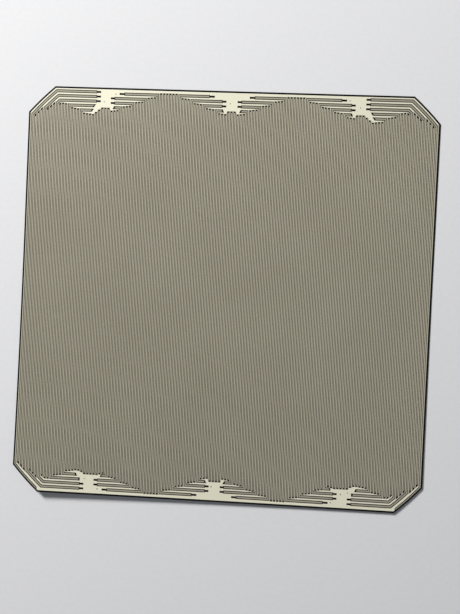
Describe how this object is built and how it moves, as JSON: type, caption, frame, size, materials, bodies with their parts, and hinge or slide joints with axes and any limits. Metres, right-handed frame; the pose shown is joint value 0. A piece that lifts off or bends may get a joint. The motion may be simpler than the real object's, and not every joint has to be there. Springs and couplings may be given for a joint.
{
  "type": "solar cell",
  "caption": "Thin square back-contact silicon solar cell with rounded corners; interlocking plated contact combs on its rear side end in solder pads along opposite edges.",
  "frame": {"origin": "centre of the underside, the light-taking face, at the middle of the square", "axes": "+Z out of the rear side with the contact combs, +Y along the fingers towards the positive pads, +X along the rows of pads"},
  "size_m": [0.125, 0.125, 0.0002],
  "materials": {
    "silicon": "near-black crystalline silicon, satin on the rear and dark blue-black on the light-taking side",
    "tin_plating": "matte fine-grained tin over copper"
  },
  "bodies": {
    "root": {"silicon_wafer": "silicon", "positive_contact_grid": "tin_plating", "negative_contact_grid": "tin_plating"}
  },
  "joints": []
}
